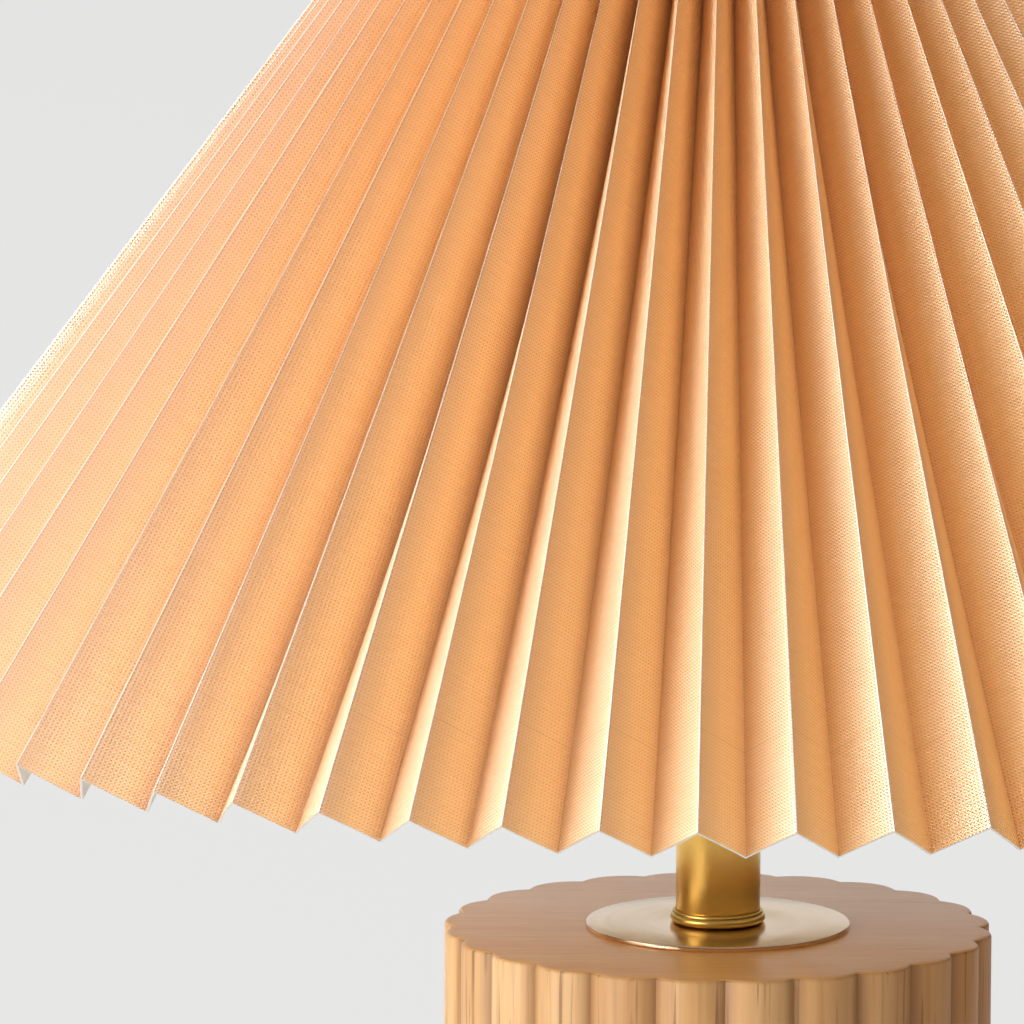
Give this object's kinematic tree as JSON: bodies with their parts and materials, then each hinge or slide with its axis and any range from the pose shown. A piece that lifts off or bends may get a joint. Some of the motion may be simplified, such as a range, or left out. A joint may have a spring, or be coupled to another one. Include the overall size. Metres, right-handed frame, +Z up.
{
  "type": "pleated table lamp",
  "caption": "Table lamp with a fluted round wooden base, a short brass neck and a wide conical pleated shade that turns on its lampholder.",
  "frame": {"origin": "centre of the flat underside of the foot pad, on the lamp's axis", "axes": "+Z up along the lamp's axis, -Y towards the viewer's side of the picture, the cord inlet faces +Y"},
  "size_m": [0.3396, 0.3396, 0.3608],
  "materials": {
    "felt": "dense needle felt",
    "wood": "fine sanded, matt oiled",
    "cast_iron": "raw casting",
    "zinc_steel": "zinc plated",
    "satin_brass": "brushed satin, lacquered",
    "plain_brass": "as pressed",
    "brown_plastic": "moulded",
    "white_plastic": "moulded",
    "porcelain": "glazed",
    "bulb_glass": "clear",
    "nickel_shell": "bright rolled",
    "black_glass": "smooth",
    "filament": "phosphor coated",
    "white_wire": "white powder coat",
    "shade_fabric": "woven fabric laminated on a pale sheet"
  },
  "bodies": {
    "stand": {"foot_pad": "felt", "base_body": "wood", "base_weight": "cast_iron", "rod_washer": "zinc_steel", "rod_nut": "zinc_steel", "threaded_tube": "zinc_steel", "cord_inlet": "brown_plastic", "seat_disc": "satin_brass", "neck_bead": "satin_brass", "neck_tube": "satin_brass", "neck_cap": "satin_brass", "holder_cap": "white_plastic", "holder_grub_screw": "zinc_steel", "holder_core": "porcelain", "terminal_screws": "plain_brass", "screw_shell": "plain_brass", "centre_contact": "plain_brass", "holder_skirt": "white_plastic", "shade_rings": "white_plastic", "bulb_glass": "bulb_glass", "bulb_cap": "nickel_shell", "bulb_insulator": "black_glass", "bulb_contact": "nickel_shell", "bulb_stem": "bulb_glass", "filament_wires": "nickel_shell", "bulb_filaments": "filament"},
    "shade": {"fitter_ring": "white_wire", "fitter_arm_1": "white_wire", "fitter_arm_2": "white_wire", "fitter_arm_3": "white_wire", "lower_ring": "white_wire", "upper_ring": "white_wire", "rib_1": "white_wire", "rib_2": "white_wire", "rib_3": "white_wire", "rib_4": "white_wire", "rib_5": "white_wire", "rib_6": "white_wire", "pleated_skin": "shade_fabric"}
  },
  "joints": [
    {"name": "shade_swivel", "type": "hinge", "parent": "stand", "child": "shade", "pos_m": [0, 0, 0.23905], "axis": [0, 0, 1], "continuous": true}
  ]
}
